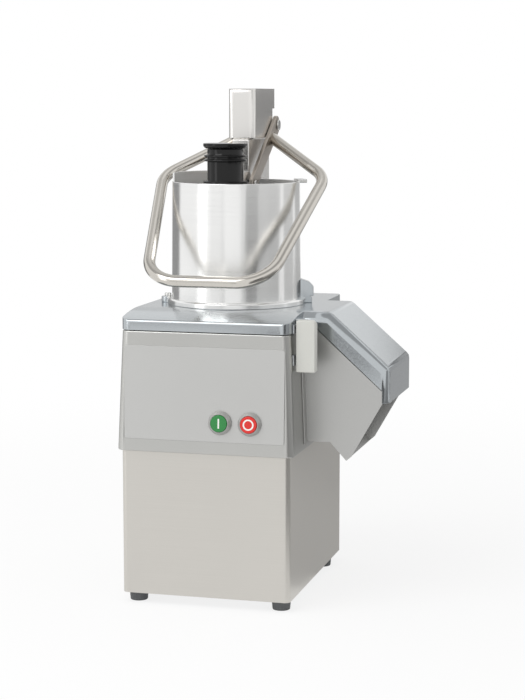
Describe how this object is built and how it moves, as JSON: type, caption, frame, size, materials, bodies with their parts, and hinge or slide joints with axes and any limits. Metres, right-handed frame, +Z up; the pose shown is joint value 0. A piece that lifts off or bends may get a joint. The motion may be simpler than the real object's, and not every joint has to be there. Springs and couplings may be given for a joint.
{
  "type": "vegetable cutting machine",
  "caption": "Commercial vegetable cutting machine with a lever-fed round hopper, a tube feed, a side chute, a hinged lid and start and stop buttons.",
  "frame": {"origin": "bottom centre of the whole machine's box, on the floor", "axes": "+Z up, -Y to the front panel, +X to the chute"},
  "size_m": [0.3568, 0.3446, 0.69],
  "materials": {
    "brushed_stainless": "brushed",
    "zinc_steel": "zinc plated",
    "bright_steel": "ground",
    "warm_stainless": "satin",
    "satin_aluminium": "satin",
    "polished_aluminium": "polished",
    "panel_foil": "satin silver",
    "motor_paint": "satin grey",
    "black_plastic": "satin",
    "grey_plastic": "satin",
    "light_plastic": "satin",
    "green_plastic": "gloss",
    "red_plastic": "gloss",
    "grey_rubber": "matt",
    "belt_rubber": "matt"
  },
  "bodies": {
    "base": {"base_shell": "brushed_stainless", "base_plate": "zinc_steel", "feet": "grey_rubber", "foot_screws": "bright_steel", "upper_housing": "satin_aluminium", "front_panel": "panel_foil", "start_bezel": "grey_plastic", "stop_bezel": "grey_plastic", "start_switch": "black_plastic", "stop_switch": "black_plastic", "control_box": "light_plastic", "capacitor": "light_plastic", "cable_gland": "black_plastic", "motor": "motor_paint", "motor_mount": "zinc_steel", "drive_belt": "belt_rubber", "bearing_housing": "satin_aluminium", "upper_bearing": "bright_steel", "lower_bearing": "bright_steel", "shaft_seal": "grey_rubber", "cutting_bowl": "satin_aluminium", "chute": "brushed_stainless", "hinge_brackets": "zinc_steel", "hinge_pins": "bright_steel", "latch_catch": "zinc_steel"},
    "lid": {"lid": "satin_aluminium", "lid_seal": "grey_rubber", "hopper": "polished_aluminium", "hopper_screws": "bright_steel", "column_post": "satin_aluminium", "column_screws": "bright_steel", "column_head": "satin_aluminium", "pivot_pin": "bright_steel", "latch_bracket": "zinc_steel", "latch_pin": "bright_steel"},
    "lever": {"lever_arms": "warm_stainless", "lever_tube": "warm_stainless", "pusher_pin": "bright_steel"},
    "pusher": {"pusher_plate": "polished_aluminium", "pusher_stem": "polished_aluminium", "tube_sleeve": "black_plastic"},
    "tube_pusher": {"tube_pusher": "black_plastic"},
    "inner_pusher": {"inner_pusher": "black_plastic"},
    "latch": {"latch_handle": "light_plastic"},
    "start_button": {"start_button": "green_plastic"},
    "stop_button": {"stop_button": "red_plastic"},
    "spindle": {"spindle": "bright_steel", "drive_pulley": "satin_aluminium", "ejector_plate": "light_plastic", "slicing_disc": "bright_steel", "disc_blades": "bright_steel", "disc_knob": "black_plastic"},
    "rotor": {"motor_shaft": "bright_steel", "motor_pulley": "satin_aluminium"}
  },
  "joints": [
    {"name": "lid_hinge", "type": "hinge", "parent": "base", "child": "lid", "pos_m": [-0.05605, 0.16528, 0.371], "axis": [-1, 0, 0], "range_deg": [0, 85]},
    {"name": "lever_hinge", "type": "hinge", "parent": "lid", "child": "lever", "pos_m": [-0.05605, 0.13728, 0.6385], "axis": [-1, 0, 0], "range_deg": [0, 53]},
    {"name": "pusher_slide", "type": "slide", "parent": "lid", "child": "pusher", "axis": [0, 0, 1], "range_m": [0, 0.134]},
    {"name": "tube_pusher_slide", "type": "slide", "parent": "pusher", "child": "tube_pusher", "axis": [0, 0, 1], "range_m": [0, 0.15]},
    {"name": "inner_pusher_slide", "type": "slide", "parent": "tube_pusher", "child": "inner_pusher", "axis": [0, 0, 1], "range_m": [0, 0.15]},
    {"name": "latch_swing", "type": "hinge", "parent": "lid", "child": "latch", "pos_m": [0.07045, -0.13872, 0.384], "axis": [0, -1, 0], "range_deg": [0, 100]},
    {"name": "start_press", "type": "slide", "parent": "base", "child": "start_button", "axis": [0, 0.9993, -0.0385], "range_m": [0, 0.003], "stiffness_N_per_m": 600},
    {"name": "stop_press", "type": "slide", "parent": "base", "child": "stop_button", "axis": [0, 0.9993, -0.0385], "range_m": [0, 0.003], "stiffness_N_per_m": 600},
    {"name": "spindle_spin", "type": "hinge", "parent": "base", "child": "spindle", "pos_m": [-0.05605, -0.00072, 0.371], "axis": [0, 0, 1], "continuous": true},
    {"name": "motor_spin", "type": "hinge", "parent": "base", "child": "rotor", "pos_m": [-0.10655, 0.07978, 0.225], "axis": [0, 0, 1], "continuous": true}
  ],
  "couplings": [
    {"joint": "pusher_slide", "follows": "lever_hinge", "m_per_rad": 0.1442},
    {"joint": "motor_spin", "follows": "spindle_spin", "ratio": 4}
  ]
}
